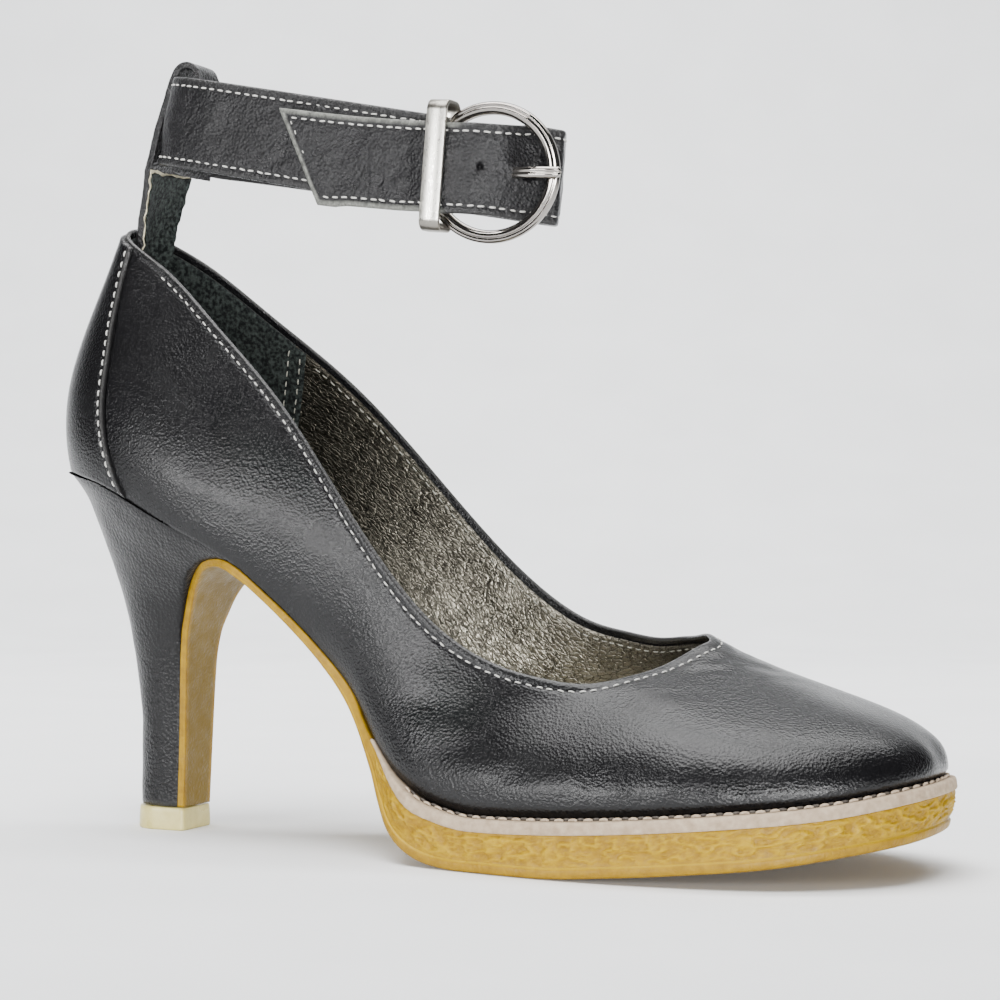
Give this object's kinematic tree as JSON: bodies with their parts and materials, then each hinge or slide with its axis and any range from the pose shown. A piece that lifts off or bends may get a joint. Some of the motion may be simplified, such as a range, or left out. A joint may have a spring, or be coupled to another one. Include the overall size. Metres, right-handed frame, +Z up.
{
  "type": "ankle strap pump",
  "caption": "Right high-heeled pump in black leather with a crepe platform sole, cream welt, back tab and buckled ankle strap.",
  "frame": {"origin": "middle of the heel tread, on the floor", "axes": "+X from heel to toe, +Y to the inner side of the foot, +Z up"},
  "size_m": [0.2178, 0.0821, 0.185],
  "materials": {
    "black_leather": "satin, fine grain, soft creases",
    "pewter_lining": "metallic foil leather, finely crinkled",
    "cream_welt": "matte, slightly soiled",
    "crepe": "crepe, wrinkled side and smooth rim",
    "heel_leather": "satin, pebbled",
    "pale_rubber": "smooth",
    "dark_nickel": "polished dark nickel",
    "bright_nickel": "brushed, faint scratches"
  },
  "bodies": {
    "root": {"upper": "black_leather", "counter_panel": "black_leather", "insole": "pewter_lining", "welt": "cream_welt", "outsole": "crepe", "heel": "heel_leather", "top_piece": "pale_rubber", "ankle_strap": "black_leather", "buckle_frame": "dark_nickel", "buckle_prong": "dark_nickel", "strap_keeper": "bright_nickel", "back_tab": "black_leather"}
  },
  "joints": []
}
